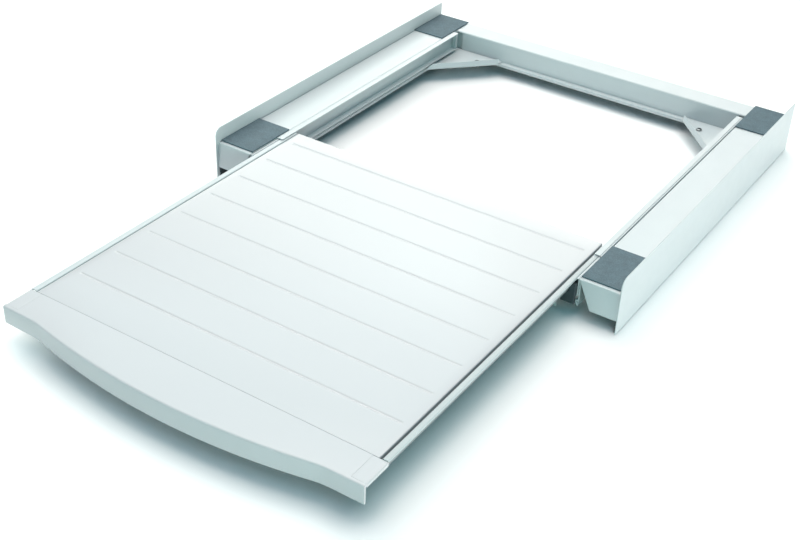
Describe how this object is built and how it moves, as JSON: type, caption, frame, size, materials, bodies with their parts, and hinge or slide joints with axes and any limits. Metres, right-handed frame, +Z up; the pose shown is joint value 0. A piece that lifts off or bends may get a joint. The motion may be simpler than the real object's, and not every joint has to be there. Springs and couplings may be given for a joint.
{
  "type": "washer dryer stacking kit",
  "caption": "Stacking frame for a dryer on a washer: padded rails with side panels, a rear beam and corner gussets, and a grooved shelf that pulls out on roller runners.",
  "frame": {"origin": "under the middle of the kit's outline with the shelf fully out, at the feet's undersides", "axes": "+Y from the shelf's front edge to the rear beam, +Z up, +X to the right side seen from the front"},
  "size_m": [0.61, 1.026, 0.0767],
  "materials": {
    "white_enamel": "satin white coating",
    "white_plastic": "fine satin white",
    "grey_plastic": "satin light grey",
    "pad_foam": "matte blue grey foam rubber",
    "dark_rubber": "matte black rubber",
    "dark_plastic": "satin black",
    "zinc": "zinc plated"
  },
  "bodies": {
    "base": {"side_panel_left": "white_enamel", "rail_left": "white_enamel", "fixed_runner_left": "white_enamel", "top_pad_front_left": "pad_foam", "foot_pad_front_left": "dark_rubber", "corner_gusset_front_left": "white_enamel", "gusset_screw_front_left": "zinc", "front_pin_left": "zinc", "top_pad_rear_left": "pad_foam", "foot_pad_rear_left": "dark_rubber", "corner_gusset_rear_left": "white_enamel", "gusset_screw_rear_left": "zinc", "runner_front_cap_left": "dark_plastic", "travel_stop_left": "dark_plastic", "runner_end_stop_left": "grey_plastic", "runner_screw_1_left": "zinc", "runner_screw_2_left": "zinc", "runner_screw_3_left": "zinc", "side_panel_right": "white_enamel", "rail_right": "white_enamel", "fixed_runner_right": "white_enamel", "top_pad_front_right": "pad_foam", "foot_pad_front_right": "dark_rubber", "corner_gusset_front_right": "white_enamel", "gusset_screw_front_right": "zinc", "front_pin_right": "zinc", "top_pad_rear_right": "pad_foam", "foot_pad_rear_right": "dark_rubber", "corner_gusset_rear_right": "white_enamel", "gusset_screw_rear_right": "zinc", "runner_front_cap_right": "dark_plastic", "travel_stop_right": "dark_plastic", "runner_end_stop_right": "grey_plastic", "runner_screw_1_right": "zinc", "runner_screw_2_right": "zinc", "runner_screw_3_right": "zinc", "rear_beam": "white_enamel", "front_bar": "white_enamel"},
    "shelf": {"moving_runner_left": "white_enamel", "rear_pin_left": "zinc", "shelf_corner_cap_left": "white_plastic", "shelf_screw_1_left": "zinc", "shelf_screw_2_left": "zinc", "shelf_screw_3_left": "zinc", "moving_runner_right": "white_enamel", "rear_pin_right": "zinc", "shelf_corner_cap_right": "white_plastic", "shelf_screw_1_right": "zinc", "shelf_screw_2_right": "zinc", "shelf_screw_3_right": "zinc", "shelf_panel": "white_plastic", "shelf_front": "white_plastic", "shelf_bar_front": "zinc", "shelf_bar_rear": "zinc"},
    "front_roller_left": {"front_roller_left": "dark_plastic"},
    "rear_roller_left": {"rear_roller_left": "dark_plastic"},
    "front_roller_right": {"front_roller_right": "dark_plastic"},
    "rear_roller_right": {"rear_roller_right": "dark_plastic"}
  },
  "joints": [
    {"name": "shelf_slide", "type": "slide", "parent": "base", "child": "shelf", "axis": [0, 1, 0], "range_m": [0, 0.424]},
    {"name": "front_roller_left_spin", "type": "hinge", "parent": "base", "child": "front_roller_left", "pos_m": [-0.2408, -0.045, 0.0446], "axis": [1, 0, 0], "range_deg": [-2930, 0]},
    {"name": "front_roller_right_spin", "type": "hinge", "parent": "base", "child": "front_roller_right", "pos_m": [0.2408, -0.045, 0.0446], "axis": [1, 0, 0], "range_deg": [-2930, 0]},
    {"name": "rear_roller_left_spin", "type": "hinge", "parent": "shelf", "child": "rear_roller_left", "pos_m": [-0.2422, 0.023, 0.0398], "axis": [1, 0, 0], "range_deg": [-2930, 0]},
    {"name": "rear_roller_right_spin", "type": "hinge", "parent": "shelf", "child": "rear_roller_right", "pos_m": [0.2422, 0.023, 0.0398], "axis": [1, 0, 0], "range_deg": [-2930, 0]}
  ],
  "couplings": [
    {"joint": "front_roller_left_spin", "follows": "shelf_slide", "rad_per_m": -120.48},
    {"joint": "front_roller_right_spin", "follows": "shelf_slide", "rad_per_m": -120.48},
    {"joint": "rear_roller_left_spin", "follows": "shelf_slide", "rad_per_m": -120.48},
    {"joint": "rear_roller_right_spin", "follows": "shelf_slide", "rad_per_m": -120.48}
  ]
}
